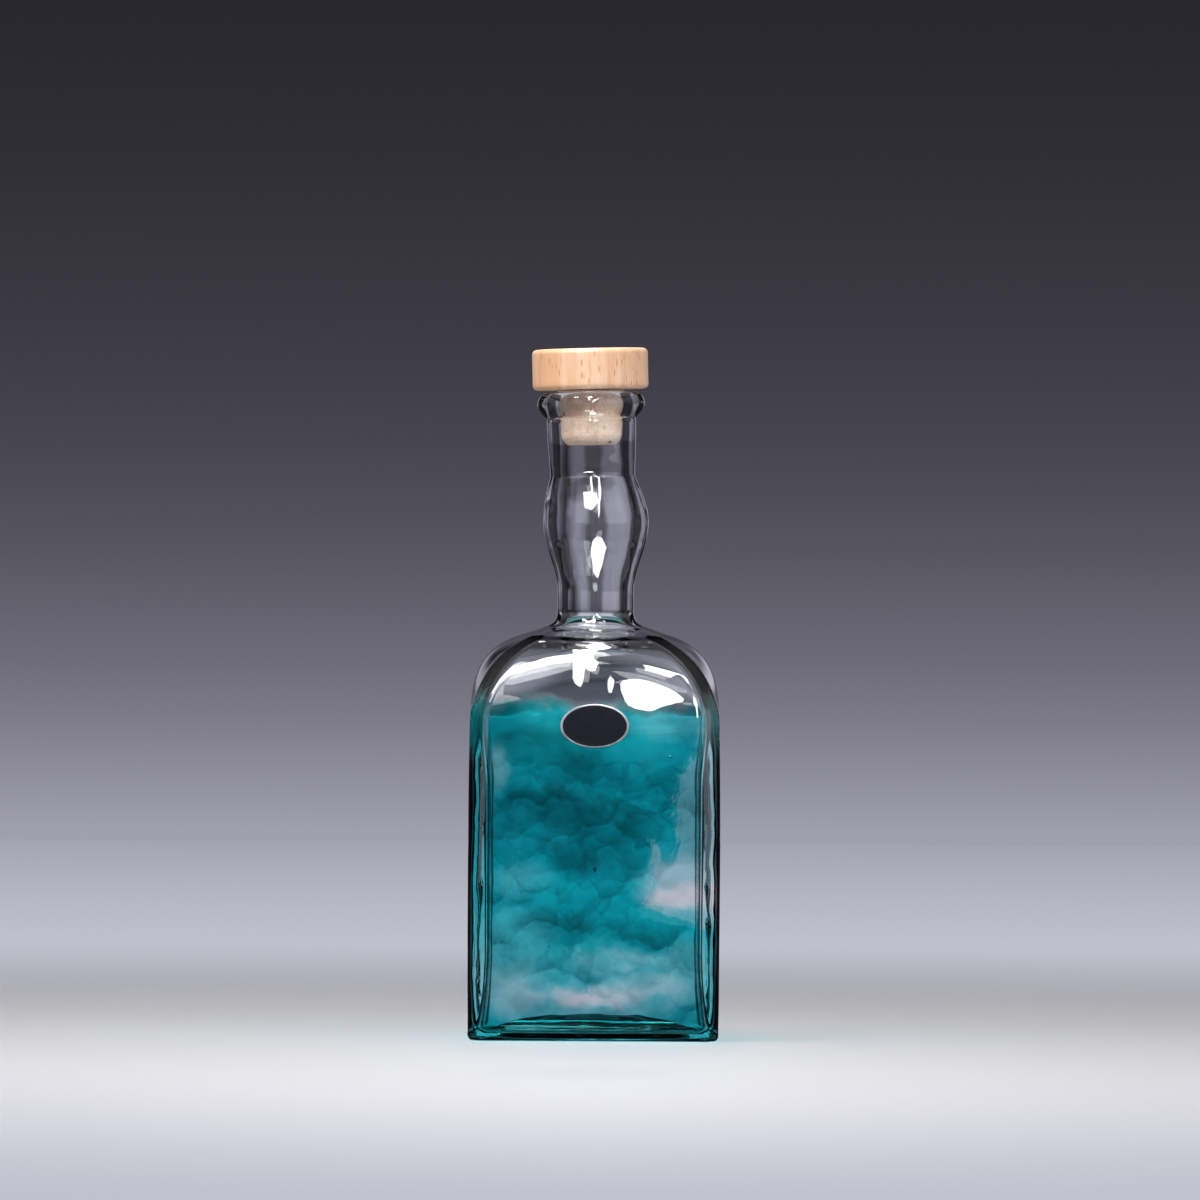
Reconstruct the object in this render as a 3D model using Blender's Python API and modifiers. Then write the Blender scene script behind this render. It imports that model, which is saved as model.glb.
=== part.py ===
"""Corked glass bottle: a hand-blown square decanter with a turned beech stopper.

Metres, +Z up. The bottle stands on the XY plane, centred on Z, with its labelled face towards -Y.
The glass is one loft: square at the foot, round at the neck, and hollow right through the mouth.
Its upper neck leans a little, and the stopper sits on that leaning axis.
"""

import math

import bmesh
import bpy
from mathutils import Matrix, Vector

# Square body
BODY_WIDTH = 0.0961  # across opposite faces at the widest height
WIDEST_HEIGHT = 0.0780
WALL_HEIGHT = 0.1232  # foot to the start of the shoulder
FOOT_DRAW_IN = 0.0004  # each face stands this much further in at the foot
SHOULDER_DRAW_IN = 0.0004  # and this much where the shoulder starts
FOOT_CORNER = 0.0052  # radius of the upright corners at the foot
SHOULDER_CORNER = 0.0085  # and at the shoulder
HEEL_RADIUS = 0.0022
RIM_WIDTH = 0.0024  # flat ring that the bottle stands on
PUSH_UP = 0.0078  # rise of the hollow under the foot
PUSH_UP_POWER = 2  # how the hollow's rise falls off towards the rim: 2 is a parabola
FLOOR_POWER = 3  # and the floor's inside: flatter on top and steeper at its edge

# Shoulder: a smooth turn in from the walls, then a cone up to the neck
CONE_RISE = 0.0309  # from the top of the walls to the foot of the cone
CONE_FOOT_RADIUS = 0.0285
TURN_START_PULL = 0.0190  # how far the turn keeps to the wall's direction
TURN_END_PULL = 0.0130  # and how soon it takes up the cone's
SHOULDER_SLOPE = math.radians(18.5)
ROUNDING = 1.3  # how late the square section turns round: 1 is an even change

# Glass thickness
WALL_FOOT = 0.0034
WALL_MIDDLE = 0.0067
WALL_SHOULDER = 0.0054
THICK_FROM = 0.0360  # the wall thins from this height down to the foot
THICK_TO = 0.0950  # and from this height up to the shoulder
FLOOR_THICKNESS = 0.0045
FLOOR_EDGE_THICKNESS = 0.0028
FLOOR_FILLET = 0.0028
CAVITY_CORNER = 0.0026
WAIST_WALL = 0.0047
BULGE_WALL = 0.0058
CREASE_WALL = 0.0043

# Neck, each length measured from the one before it
ROOT_FILLET = 0.0055
BORE_ROUNDING = 0.0098  # where the bore opens into the body
WAIST_RADIUS = 0.0148
WAIST_LENGTH = 0.0077
BULGE_RADIUS = 0.0203
BULGE_RISE = 0.0269
BULGE_FALL = 0.0177
CREASE_RADIUS = 0.0163
COLLAR_RADIUS = 0.0172
COLLAR_LENGTH = 0.0211
LIP_CREASE = 0.0004
LIP_RADIUS = 0.0207
LIP_HEIGHT = 0.0110
LIP_FLARE = 0.0064  # height over which the lip flares to its widest

# The neck above its bulge bends towards -X
BEND_LENGTH = 0.0190
BEND_SHIFT = 0.0012  # sideways, besides the lean
NECK_LEAN = math.radians(1.6)

# Stopper
CORK_RADIUS = 0.0126  # under the head
CORK_END_RADIUS = 0.0115
CORK_LENGTH = 0.0208
CORK_CHAMFER_LENGTH = 0.0042
CORK_CHAMFER_DEPTH = 0.0030
CORK_GAP = 0.0003  # between the cork and the bore
HEAD_RADIUS = 0.0222
HEAD_HEIGHT = 0.0156
HEAD_EDGE = 0.0019
HEAD_STANDOFF = 0.0008  # from the lip's crest to the head
DOWEL_RADIUS = 0.00475
DOWEL_IN_HEAD = 0.0090
DOWEL_IN_CORK = 0.0120
DOWEL_CHAMFER = 0.0008
GLUE_GAP = 0.0003

# Foil label
LABEL_WIDTH = 0.0261
LABEL_HEIGHT = 0.0166
LABEL_DROP = 0.0036  # its centre below the start of the shoulder
FOIL_THICKNESS = 0.0002
FOIL_GAP = 0.0003

# Mesh resolution
CORNER_SEGMENTS = 6
FACE_SEGMENTS = 2  # on each side of a face's middle
RING_POINTS = 4 * (CORNER_SEGMENTS + 2 * FACE_SEGMENTS)
TURNED_STEPS = 48

# The foot of the shoulder's cone, and its end at the neck's root
HALF_WIDTH = BODY_WIDTH / 2
CONE_FOOT = WALL_HEIGHT + CONE_RISE
ROOT_RADIUS = WAIST_RADIUS + ROOT_FILLET * (1 - math.sin(SHOULDER_SLOPE))
ROOT = CONE_FOOT + (CONE_FOOT_RADIUS - ROOT_RADIUS) * math.tan(SHOULDER_SLOPE)

# Heights along the glass's axis
WAIST_START = ROOT + ROOT_FILLET * math.cos(SHOULDER_SLOPE)
BULGE_START = WAIST_START + WAIST_LENGTH
BULGE_MIDDLE = BULGE_START + BULGE_RISE
CREASE = BULGE_MIDDLE + BULGE_FALL
COLLAR_TOP = CREASE + COLLAR_LENGTH
LIP_CREST = COLLAR_TOP + LIP_HEIGHT
HEAD_BASE = LIP_CREST + HEAD_STANDOFF
CORK_END = HEAD_BASE - CORK_LENGTH


def sweep(count, first=0):
    """Fractions from 0 to 1 in count steps; first=1 leaves out the 0, which the run before already has."""
    return [step / count for step in range(first, count + 1)]


def mix(start, end, share):
    return start + (end - start) * share


def ease(share):
    """0 to 1 with a level start and end."""
    return (1 - math.cos(math.pi * share)) / 2


def axis_frame(height):
    """Where the glass's axis is at a height along it: upright, then bent to -X, then straight at its lean."""
    bent = min(max(height - BULGE_MIDDLE, 0), BEND_LENGTH)
    beyond = max(height - BULGE_MIDDLE - BEND_LENGTH, 0)
    lean = NECK_LEAN * bent / BEND_LENGTH
    centre = Vector((-BEND_SHIFT * ease(bent / BEND_LENGTH), 0, min(height, BULGE_MIDDLE)))
    centre += bent * Vector((-math.sin(lean / 2), 0, math.cos(lean / 2)))
    centre += beyond * Vector((-math.sin(NECK_LEAN), 0, math.cos(NECK_LEAN)))
    return Matrix.Translation(centre) @ Matrix.Rotation(-lean, 4, "Y")


def square_quadrant(half_width, corner):
    """A rounded square's points from the middle of its +X face to just before the middle of its +Y face."""
    straight = half_width - corner
    rise = [(half_width, straight * share) for share in sweep(FACE_SEGMENTS)]
    turn = [math.pi / 2 * share for share in sweep(CORNER_SEGMENTS, first=1)]
    arc = [(straight + corner * math.cos(a), straight + corner * math.sin(a)) for a in turn]
    back = [(straight * (1 - share), half_width) for share in sweep(FACE_SEGMENTS, first=1)]
    return rise + arc + back[:-1]


def reach(direction, half_width, corner):
    """How far out a rounded square stands in a direction of its first quarter."""
    straight = half_width - corner
    larger, smaller = max(direction), min(direction)
    if smaller * half_width <= larger * straight:
        return half_width / larger
    along = (larger + smaller) * straight
    return along + math.sqrt(along**2 - 2 * straight**2 + corner**2)


def section(half_width, corner, square):
    """One ring's points. square is 0 for a circle, 1 for a rounded square; between them the flats bow out."""
    corner = min(corner, half_width)
    points = []
    for quarter in range(4):
        turn = Matrix.Rotation(quarter * math.pi / 2, 2)
        for index, point in enumerate(square_quadrant(half_width, corner)):
            angle = 2 * math.pi * index / RING_POINTS
            direction = Vector((math.cos(angle), math.sin(angle))).lerp(Vector(point) / half_width, square)
            direction.normalize()
            out = mix(half_width, reach(direction, half_width, corner), square)
            points.append(turn @ (direction * out))
    return points


def corner_at(height):
    """Radius of the body's upright corners, sharper at the foot than at the shoulder."""
    return mix(FOOT_CORNER, SHOULDER_CORNER, min(height / WALL_HEIGHT, 1))


def face_at(height):
    """Distance from the axis to the middle of a face: barrelled, widest at WIDEST_HEIGHT."""
    if height < WIDEST_HEIGHT:
        return HALF_WIDTH - FOOT_DRAW_IN * (1 - height / WIDEST_HEIGHT) ** 2
    above = (height - WIDEST_HEIGHT) / (WALL_HEIGHT - WIDEST_HEIGHT)
    return HALF_WIDTH - SHOULDER_DRAW_IN * above**2


def wall_at(height):
    """Thickness of the body's wall: thickest from THICK_FROM to THICK_TO."""
    if height < THICK_FROM:
        return mix(WALL_FOOT, WALL_MIDDLE, math.sin(math.pi / 2 * height / THICK_FROM))
    above = max(height - THICK_TO, 0) / (WALL_HEIGHT - THICK_TO)
    return mix(WALL_MIDDLE, WALL_SHOULDER, ease(above))


def dome(edge_half_width, edge_height, rise, power, corner, steps):
    """Rings of a square-based dome from its edge in towards the middle, without its top point."""
    rings = []
    for share in sweep(steps)[:-1]:
        out = 1 - share
        height = edge_height + rise * (1 - out**power)
        rings.append((height, edge_half_width * out, corner * out, 1 - share**2))
    return rings


def shoulder_turn(share):
    """The turn's (height, half width) and its outward direction, at a share of the way from wall to cone."""
    wall = HALF_WIDTH - SHOULDER_DRAW_IN
    slope = Vector((math.sin(SHOULDER_SLOPE), -math.cos(SHOULDER_SLOPE)))
    first = Vector((WALL_HEIGHT, wall))
    last = Vector((CONE_FOOT, CONE_FOOT_RADIUS))
    handles = (first, first + Vector((TURN_START_PULL, 0)), last - TURN_END_PULL * slope, last)
    joined = [near.lerp(far, share) for near, far in zip(handles, handles[1:])]
    inner, outer = (near.lerp(far, share) for near, far in zip(joined, joined[1:]))
    along = outer - inner
    return inner.lerp(outer, share), Vector((-along.y, along.x)).normalized()


def shoulder_rings(depth, end_radius, corner):
    """Rings up the shoulder, or up a surface this deep under it, from the wall to a circle of end_radius."""
    points = []
    for share in sweep(9):
        point, outward = shoulder_turn(share)
        points.append(point - depth * outward)
    foot = points[-1]
    for share in sweep(4, first=1):
        radius = mix(foot.y, end_radius, share)
        points.append(Vector((foot.x + (foot.y - radius) * math.tan(SHOULDER_SLOPE), radius)))
    rings = []
    for height, half_width in points:
        risen = max(0.0, (height - WALL_HEIGHT) / (points[-1].x - WALL_HEIGHT))
        rings.append((height, half_width, corner, 1 - risen**ROUNDING))
    return rings


def round_rings(points):
    """Circular rings from (height, radius) points."""
    return [(height, radius, radius, 0) for height, radius in points]


def neck_wave(waist, bulge, crease):
    """Up the neck: a half wave from the waist out to the bulge, then a quarter wave in to the crease."""
    rise = [(mix(BULGE_START, BULGE_MIDDLE, s), mix(waist, bulge, ease(s))) for s in sweep(9)]
    fall = []
    for share in sweep(6, first=1):
        radius = mix(crease, bulge, math.cos(math.pi / 2 * share))
        fall.append((mix(BULGE_MIDDLE, CREASE, share), radius))
    return rise + fall


def arc(centre, radii, start, end, steps):
    """(height, radius) points on an ellipse about centre, between two angles from the outward direction."""
    height, radius = centre
    angles = [math.radians(mix(start, end, share)) for share in sweep(steps)]
    return [(height + radii[0] * math.sin(a), radius + radii[1] * math.cos(a)) for a in angles]


def root_arc(height, radius, fillet):
    """Down from a neck's wall at (height, radius), round a fillet, until it takes the shoulder's slope."""
    centre = (height, radius + fillet)
    return arc(centre, (fillet, fillet), 180, 270 - math.degrees(SHOULDER_SLOPE), 4)


def cork_radius_at(height):
    """The cork tapers from the head down to its end."""
    return mix(CORK_END_RADIUS, CORK_RADIUS, (height - CORK_END) / CORK_LENGTH)


def outer_rings():
    """The outside of the glass, from the rim it stands on up to the lip's crest."""
    rim = face_at(0) - HEEL_RADIUS
    rings = [(0, rim, corner_at(0) - HEEL_RADIUS / 2, 1)]
    for share in sweep(4, first=1):
        angle = math.pi / 2 * share
        height = HEEL_RADIUS * (1 - math.cos(angle))
        half_width = mix(rim, face_at(HEEL_RADIUS), math.sin(angle))
        rings.append((height, half_width, corner_at(height), 1))
    for share in sweep(8, first=1):
        height = mix(HEEL_RADIUS, WALL_HEIGHT, share)
        rings.append((height, face_at(height), corner_at(height), 1))
    rings += shoulder_rings(0, ROOT_RADIUS, SHOULDER_CORNER)[1:]
    rings += round_rings(root_arc(WAIST_START, WAIST_RADIUS, ROOT_FILLET)[-2::-1])
    rings += round_rings(neck_wave(WAIST_RADIUS, BULGE_RADIUS, CREASE_RADIUS))
    for share in sweep(5, first=1):
        radius = mix(CREASE_RADIUS, COLLAR_RADIUS, math.sin(math.pi / 2 * share))
        rings += round_rings([(mix(CREASE, COLLAR_TOP, share), radius)])
    rings += round_rings([(COLLAR_TOP + LIP_CREASE, COLLAR_RADIUS - LIP_CREASE)])
    return rings


def lip_rings():
    """The rounded lip, from its widest height over the crest and down into the mouth."""
    bore = cork_radius_at(LIP_CREST) + CORK_GAP
    crest_radius = (LIP_RADIUS + bore) / 2
    widest = COLLAR_TOP + LIP_FLARE
    bead = (LIP_CREST - widest, LIP_RADIUS - crest_radius)
    outside = arc((widest, crest_radius), bead, 0, 90, 6)
    mouth = LIP_CREST - (crest_radius - bore)
    bore_there = cork_radius_at(mouth) + CORK_GAP
    roll = (LIP_CREST - mouth, crest_radius - bore_there)
    inside = arc((mouth, crest_radius), roll, 90, 180, 4)
    return round_rings(outside + inside[1:])


def inner_rings():
    """The inside of the glass, from the cork's seat down to the edge of the floor."""
    seat_end = (CORK_END, cork_radius_at(CORK_END) + CORK_GAP)
    waist_bore = WAIST_RADIUS - WAIST_WALL
    rings = round_rings([seat_end])
    wave = neck_wave(waist_bore, BULGE_RADIUS - BULGE_WALL, CREASE_RADIUS - CREASE_WALL)
    rings += round_rings(reversed(wave))
    end_radius = waist_bore + BORE_ROUNDING * (1 - math.sin(SHOULDER_SLOPE))
    ceiling = shoulder_rings(WALL_SHOULDER, end_radius, CAVITY_CORNER)
    opening = ceiling[-1][0] + BORE_ROUNDING * math.cos(SHOULDER_SLOPE)
    rings += round_rings(root_arc(opening, waist_bore, BORE_ROUNDING))
    rings += ceiling[-2::-1]
    floor_edge = FLOOR_EDGE_THICKNESS + FLOOR_FILLET
    upper = [mix(WALL_HEIGHT, THICK_FROM, share) for share in sweep(7, first=1)]
    lower = [mix(THICK_FROM, floor_edge, share) for share in sweep(5, first=1)]
    for height in upper + lower:
        rings.append((height, face_at(height) - wall_at(height), CAVITY_CORNER, 1))
    wall_foot = face_at(floor_edge) - wall_at(floor_edge)
    centre = (floor_edge, wall_foot - FLOOR_FILLET)
    for height, half_width in arc(centre, (FLOOR_FILLET, FLOOR_FILLET), 360, 270, 4)[1:-1]:
        rings.append((height, half_width, CAVITY_CORNER, 1))
    return rings


def floor_rings():
    """The domed floor inside, in towards the middle."""
    edge = FLOOR_EDGE_THICKNESS + FLOOR_FILLET
    half_width = face_at(edge) - wall_at(edge) - FLOOR_FILLET
    rise = PUSH_UP + FLOOR_THICKNESS - FLOOR_EDGE_THICKNESS
    corner = CAVITY_CORNER - FLOOR_FILLET / 2
    return dome(half_width, FLOOR_EDGE_THICKNESS, rise, FLOOR_POWER, corner, 8)


def underside_rings():
    """The hollow under the foot, from the rim's inner edge in towards the middle."""
    half_width = face_at(0) - HEEL_RADIUS - RIM_WIDTH
    return dome(half_width, 0, PUSH_UP, PUSH_UP_POWER, corner_at(0), 8)


def new_object(name, mesh, material, collection):
    """An object of its own for a mesh, smooth but for its sharp edges."""
    mesh.shade_smooth()
    mesh.set_sharp_from_angle(angle=math.radians(35))
    mesh.materials.append(material)
    made = bpy.data.objects.new(name, mesh)
    collection.objects.link(made)
    return made


def make_material(name, colour, roughness, metallic=0.0, transmission=0.0):
    material = bpy.data.materials.new(name)
    material.use_nodes = True
    shader = material.node_tree.nodes["Principled BSDF"]
    shader.inputs["Base Color"].default_value = (*colour, 1)
    shader.inputs["Roughness"].default_value = roughness
    shader.inputs["Metallic"].default_value = metallic
    shader.inputs["Transmission Weight"].default_value = transmission
    return material


def loft(name, rings, ends):
    """A closed mesh through rings, in order, with a point at each end to close it."""
    shape = bmesh.new()
    loops = []
    for height, half_width, corner, square in rings:
        frame = axis_frame(height)
        flat = section(half_width, corner, square)
        loops.append([shape.verts.new(frame @ Vector((*point, 0))) for point in flat])
    for lower, upper in zip(loops, loops[1:]):
        for index in range(RING_POINTS):
            following = (index + 1) % RING_POINTS
            shape.faces.new((lower[index], lower[following], upper[following], upper[index]))
    for loop, height in zip((loops[0], loops[-1]), ends):
        tip = shape.verts.new((0, 0, height))
        for index in range(RING_POINTS):
            shape.faces.new((loop[index], loop[(index + 1) % RING_POINTS], tip))
    bmesh.ops.recalc_face_normals(shape, faces=shape.faces)
    mesh = bpy.data.meshes.new(name)
    shape.to_mesh(mesh)
    shape.free()
    return mesh


def make_bottle(collection, glass):
    """The blown glass: underside, outside, lip, inside and floor as one skin."""
    rings = underside_rings()[::-1] + outer_rings() + lip_rings() + inner_rings() + floor_rings()
    ends = (PUSH_UP, PUSH_UP + FLOOR_THICKNESS)
    return new_object("bottle", loft("bottle", rings, ends), glass, collection)


def make_turned(name, profile, material, collection, parent):
    """A solid turned about its parent's Z from a profile of (radius, height) points."""
    mesh = bpy.data.meshes.new(name)
    points = [(radius, 0, height) for radius, height in profile]
    mesh.from_pydata(points, [(i, i + 1) for i in range(len(points) - 1)], [])
    made = bpy.data.objects.new(name, mesh)
    mesh.materials.append(material)
    collection.objects.link(made)
    made.parent = parent
    turn = made.modifiers.new("Turn", "SCREW")
    turn.steps = TURNED_STEPS
    turn.render_steps = TURNED_STEPS
    turn.use_merge_vertices = True
    turn.merge_threshold = 0.00001
    turn.use_smooth_shade = True
    return made


def quarter(centre, radius, start, steps=4):
    """(radius, height) points clockwise round a quarter circle, from an angle in degrees."""
    angles = [math.radians(start - 90 * share) for share in sweep(steps)]
    return [(centre[0] + radius * math.cos(a), centre[1] + radius * math.sin(a)) for a in angles]


def make_head(collection, beech, seat):
    """The turned beech disc, bored from below for the dowel. Heights are above its underside."""
    hole = DOWEL_RADIUS + GLUE_GAP
    hole_end = DOWEL_IN_HEAD + GLUE_GAP
    profile = [(0, HEAD_HEIGHT)]
    profile += quarter((HEAD_RADIUS - HEAD_EDGE, HEAD_HEIGHT - HEAD_EDGE), HEAD_EDGE, 90)
    profile += quarter((HEAD_RADIUS - HEAD_EDGE, HEAD_EDGE), HEAD_EDGE, 0)
    profile += [(hole, 0), (hole, hole_end), (0, hole_end)]
    return make_turned("stopper_head", profile, beech, collection, seat)


def make_cork(collection, cork, seat):
    """The tapered cork with its rounded end, bored from above for the dowel."""
    hole = DOWEL_RADIUS + GLUE_GAP
    hole_end = -DOWEL_IN_CORK - GLUE_GAP
    profile = [(0, hole_end), (hole, hole_end), (hole, -GLUE_GAP), (CORK_RADIUS, -GLUE_GAP)]
    for share in sweep(5):
        angle = math.pi / 2 * share
        depth = CORK_LENGTH - CORK_CHAMFER_LENGTH * (1 - math.sin(angle))
        side = cork_radius_at(HEAD_BASE - CORK_LENGTH + CORK_CHAMFER_LENGTH)
        profile.append((side - CORK_CHAMFER_DEPTH * (1 - math.cos(angle)), -depth))
    profile.append((0, -CORK_LENGTH))
    return make_turned("cork", profile, cork, collection, seat)


def make_dowel(collection, wood, seat):
    """The hidden dowel that joins the head to the cork."""
    length = DOWEL_IN_HEAD + DOWEL_IN_CORK
    shape = bmesh.new()
    bmesh.ops.create_cone(
        shape, cap_ends=True, segments=24, radius1=DOWEL_RADIUS, radius2=DOWEL_RADIUS, depth=length
    )
    mesh = bpy.data.meshes.new("dowel")
    shape.to_mesh(mesh)
    shape.free()
    made = new_object("dowel", mesh, wood, collection)
    made.parent = seat
    made.location.z = (DOWEL_IN_HEAD - DOWEL_IN_CORK) / 2
    chamfer = made.modifiers.new("Chamfer", "BEVEL")
    chamfer.width = DOWEL_CHAMFER
    chamfer.segments = 1
    chamfer.angle_limit = math.radians(60)
    return made


def make_label(collection, foil, bottle):
    """An oval of foil laid on the front face, just below the shoulder."""
    shape = bmesh.new()
    bmesh.ops.create_circle(shape, cap_ends=True, cap_tris=True, segments=40, radius=0.5)
    bmesh.ops.subdivide_edges(
        shape,
        edges=[edge for edge in shape.edges if not edge.is_boundary],
        cuts=3,
        use_grid_fill=True,
    )
    upright = Matrix.Rotation(math.pi / 2, 4, "X")
    size = Matrix.Diagonal((LABEL_WIDTH, 1, LABEL_HEIGHT, 1))
    shape.transform(size @ upright)
    mesh = bpy.data.meshes.new("foil_label")
    shape.to_mesh(mesh)
    shape.free()
    made = new_object("foil_label", mesh, foil, collection)
    made.location = (0, -BODY_WIDTH, WALL_HEIGHT - LABEL_DROP)
    lay = made.modifiers.new("Lay on the glass", "SHRINKWRAP")
    lay.target = bottle
    lay.wrap_method = "PROJECT"
    lay.use_project_y = True
    lay.use_positive_direction = True
    lay.offset = FOIL_GAP
    thicken = made.modifiers.new("Foil", "SOLIDIFY")
    thicken.thickness = FOIL_THICKNESS
    thicken.offset = 1
    return made


def clear_scene():
    for old in list(bpy.data.objects):
        bpy.data.objects.remove(old, do_unlink=True)


def main():
    clear_scene()
    collection = bpy.data.collections.new("corked_glass_bottle")
    bpy.context.scene.collection.children.link(collection)
    glass = make_material("teal_glass", (0.20, 0.62, 0.66), 0.02, transmission=1.0)
    beech = make_material("beech", (0.80, 0.56, 0.36), 0.42)
    cork = make_material("cork", (0.78, 0.66, 0.55), 0.75)
    dowel_wood = make_material("dowel_wood", (0.74, 0.56, 0.38), 0.60)
    foil = make_material("pewter_foil", (0.10, 0.10, 0.12), 0.32, metallic=1.0)
    bottle = make_bottle(collection, glass)
    seat = bpy.data.objects.new("stopper_seat", None)
    seat.matrix_world = axis_frame(HEAD_BASE)
    collection.objects.link(seat)
    make_head(collection, beech, seat)
    make_cork(collection, cork, seat)
    make_dowel(collection, dowel_wood, seat)
    make_label(collection, foil, bottle)


main()
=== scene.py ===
"""Looks for the corked glass bottle: blown glass with teal clouds, beech stopper, cork and foil label."""

import math
import random

import bmesh
import bpy
from mathutils import Matrix, Vector, noise


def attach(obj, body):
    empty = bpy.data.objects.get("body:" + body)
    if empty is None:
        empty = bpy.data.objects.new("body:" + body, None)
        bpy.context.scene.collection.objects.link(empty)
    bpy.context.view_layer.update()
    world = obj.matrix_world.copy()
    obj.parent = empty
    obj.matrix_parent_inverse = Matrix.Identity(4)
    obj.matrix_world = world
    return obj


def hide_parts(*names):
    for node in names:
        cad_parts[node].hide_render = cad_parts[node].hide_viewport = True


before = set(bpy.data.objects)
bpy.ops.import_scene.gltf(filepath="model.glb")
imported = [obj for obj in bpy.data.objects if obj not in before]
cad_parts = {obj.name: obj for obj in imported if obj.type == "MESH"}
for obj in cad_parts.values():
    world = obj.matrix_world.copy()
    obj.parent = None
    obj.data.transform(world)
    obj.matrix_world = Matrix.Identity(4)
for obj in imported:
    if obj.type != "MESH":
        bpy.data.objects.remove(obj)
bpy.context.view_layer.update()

# Sizes of the solids, in metres
HALF_WIDTH = 0.04805
WIDEST_HEIGHT = 0.0780
WALL_HEIGHT = 0.1232
FOOT_DRAW_IN = 0.0004
SHOULDER_DRAW_IN = 0.0004
FOOT_CORNER = 0.0052
SHOULDER_CORNER = 0.0085
HEEL_RADIUS = 0.0022
RIM_WIDTH = 0.0024
PUSH_UP = 0.0078
CONE_RISE = 0.0309
CONE_FOOT_RADIUS = 0.0285
TURN_START_PULL = 0.0190
TURN_END_PULL = 0.0130
SHOULDER_SLOPE = math.radians(18.5)
ROUNDING = 1.3
PUSH_UP_POWER = 2
FLOOR_POWER = 3
WALL_FOOT = 0.0034
WALL_MIDDLE = 0.0067
WALL_SHOULDER = 0.0054
THICK_FROM = 0.0360
THICK_TO = 0.0950
FLOOR_THICKNESS = 0.0045
FLOOR_EDGE_THICKNESS = 0.0028
FLOOR_FILLET = 0.0028
CAVITY_CORNER = 0.0026
WAIST_WALL = 0.0047
BULGE_WALL = 0.0058
CREASE_WALL = 0.0043
ROOT_FILLET = 0.0055
BORE_ROUNDING = 0.0098
WAIST_RADIUS = 0.0148
WAIST_LENGTH = 0.0077
BULGE_RADIUS = 0.0203
BULGE_RISE = 0.0269
BULGE_FALL = 0.0177
CREASE_RADIUS = 0.0163
COLLAR_RADIUS = 0.0172
COLLAR_LENGTH = 0.0211
LIP_CREASE = 0.0004
LIP_RADIUS = 0.0207
LIP_HEIGHT = 0.0110
LIP_FLARE = 0.0064
BEND_LENGTH = 0.0190
BEND_SHIFT = 0.0012
NECK_LEAN = math.radians(1.6)
CORK_RADIUS = 0.0126
CORK_END_RADIUS = 0.0115
CORK_LENGTH = 0.0208
CORK_CHAMFER_LENGTH = 0.0042
CORK_CHAMFER_DEPTH = 0.0030
CORK_GAP = 0.0003
HEAD_RADIUS = 0.0222
HEAD_HEIGHT = 0.0156
HEAD_EDGE = 0.0019
HEAD_STANDOFF = 0.0008
DOWEL_RADIUS = 0.00475
DOWEL_IN_HEAD = 0.0090
DOWEL_IN_CORK = 0.0120
GLUE_GAP = 0.0003
LABEL_WIDTH = 0.0261
LABEL_HEIGHT = 0.0166
LABEL_DROP = 0.0036
FOIL_THICKNESS = 0.0002
FOIL_GAP = 0.0003

CONE_FOOT = WALL_HEIGHT + CONE_RISE
ROOT_RADIUS = WAIST_RADIUS + ROOT_FILLET * (1 - math.sin(SHOULDER_SLOPE))
ROOT = CONE_FOOT + (CONE_FOOT_RADIUS - ROOT_RADIUS) * math.tan(SHOULDER_SLOPE)
WAIST_START = ROOT + ROOT_FILLET * math.cos(SHOULDER_SLOPE)
BULGE_START = WAIST_START + WAIST_LENGTH
BULGE_MIDDLE = BULGE_START + BULGE_RISE
CREASE = BULGE_MIDDLE + BULGE_FALL
COLLAR_TOP = CREASE + COLLAR_LENGTH
LIP_CREST = COLLAR_TOP + LIP_HEIGHT
HEAD_BASE = LIP_CREST + HEAD_STANDOFF
CORK_END = HEAD_BASE - CORK_LENGTH
LABEL_MIDDLE = WALL_HEIGHT - LABEL_DROP


def sweep(count, first=0):
    return [step / count for step in range(first, count + 1)]


def mix(start, end, share):
    return start + (end - start) * share


def ease(share):
    return (1 - math.cos(math.pi * share)) / 2


def smooth(value, low, high):
    """0 below low, 1 above high, and a soft step between them."""
    share = min(max((value - low) / (high - low), 0), 1)
    return share * share * (3 - 2 * share)


def axis_frame(height):
    """Where the glass's axis is at a height along it."""
    bent = min(max(height - BULGE_MIDDLE, 0), BEND_LENGTH)
    beyond = max(height - BULGE_MIDDLE - BEND_LENGTH, 0)
    lean = NECK_LEAN * bent / BEND_LENGTH
    centre = Vector((-BEND_SHIFT * ease(bent / BEND_LENGTH), 0, min(height, BULGE_MIDDLE)))
    centre += bent * Vector((-math.sin(lean / 2), 0, math.cos(lean / 2)))
    centre += beyond * Vector((-math.sin(NECK_LEAN), 0, math.cos(NECK_LEAN)))
    return Matrix.Translation(centre) @ Matrix.Rotation(-lean, 4, "Y")


# Places from 0 to 1 round a quarter of a section: each flat takes FLAT of it and the corner takes CURVE
FLAT, CURVE = 0.2, 0.6
FLAT_STEPS, CORNER_STEPS = 30, 20
QUARTER = [FLAT * s for s in sweep(FLAT_STEPS)]
QUARTER += [FLAT + CURVE * s for s in sweep(CORNER_STEPS, first=1)]
QUARTER += [FLAT + CURVE + FLAT * s for s in sweep(FLAT_STEPS, first=1)][:-1]
RING = 4 * len(QUARTER)


def square_point(place, half_width, corner):
    straight = half_width - corner
    if place <= FLAT:
        return Vector((half_width, straight * place / FLAT))
    if place < FLAT + CURVE:
        angle = math.pi / 2 * (place - FLAT) / CURVE
        return Vector((straight + corner * math.cos(angle), straight + corner * math.sin(angle)))
    return Vector((straight * (1 - place) / FLAT, half_width))


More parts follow.
